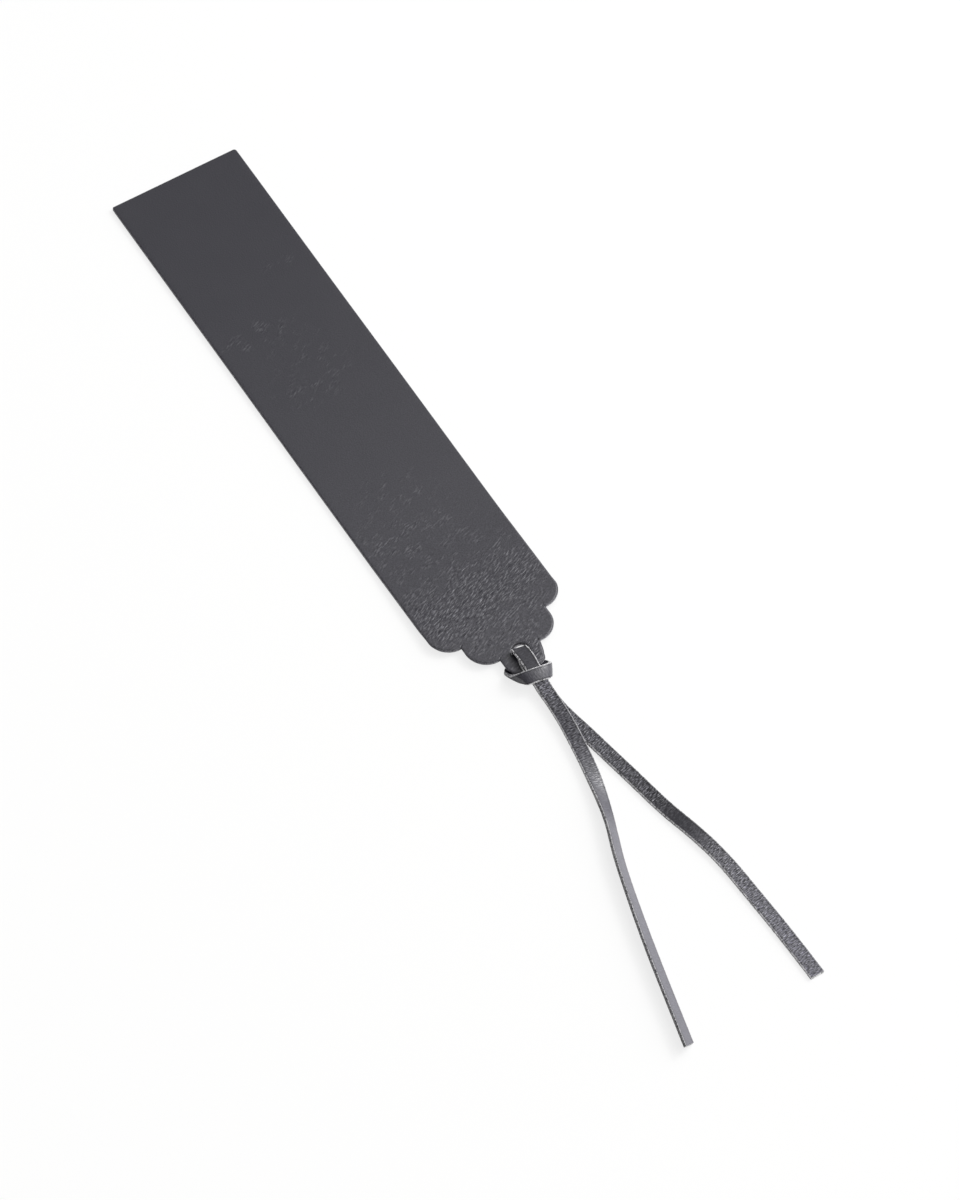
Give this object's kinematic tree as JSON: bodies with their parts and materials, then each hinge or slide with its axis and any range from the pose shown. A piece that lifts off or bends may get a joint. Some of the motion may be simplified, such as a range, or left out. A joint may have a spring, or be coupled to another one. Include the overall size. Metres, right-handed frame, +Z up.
{
  "type": "bookmark",
  "caption": "Flat dark leather bookmark with a square end, a stepped scalloped end and a flat leather lace hitched through a punched hole, leaving loose tails.",
  "frame": {"origin": "middle of the panel's bounding box, on the surface that it lies on", "axes": "+X across the panel, +Y along it towards the square end, +Z up out of its face"},
  "size_m": [0.0464, 0.3015, 0.0054],
  "materials": {
    "face_leather": "smooth full grain, satin",
    "back_leather": "smooth, matt",
    "lace_leather": "fine pebbled grain with raw cut edges"
  },
  "bodies": {
    "panel": {"face_leather": "face_leather", "back_leather": "back_leather"},
    "knot": {"lace_loop": "lace_leather", "lace_under": "lace_leather", "lace_knot": "lace_leather"},
    "tassel": {"left_tail": "lace_leather", "right_tail": "lace_leather"}
  },
  "joints": [
    {"name": "lace_swing", "type": "hinge", "parent": "panel", "child": "knot", "pos_m": [0, -0.08465, 0.0016], "axis": [0, 0, 1], "range_deg": [-15, 15]},
    {"name": "tassel_fold", "type": "hinge", "parent": "knot", "child": "tassel", "pos_m": [-0.00055, -0.0998, 0.00545], "axis": [-1, 0, 0], "range_deg": [0, 175]}
  ]
}
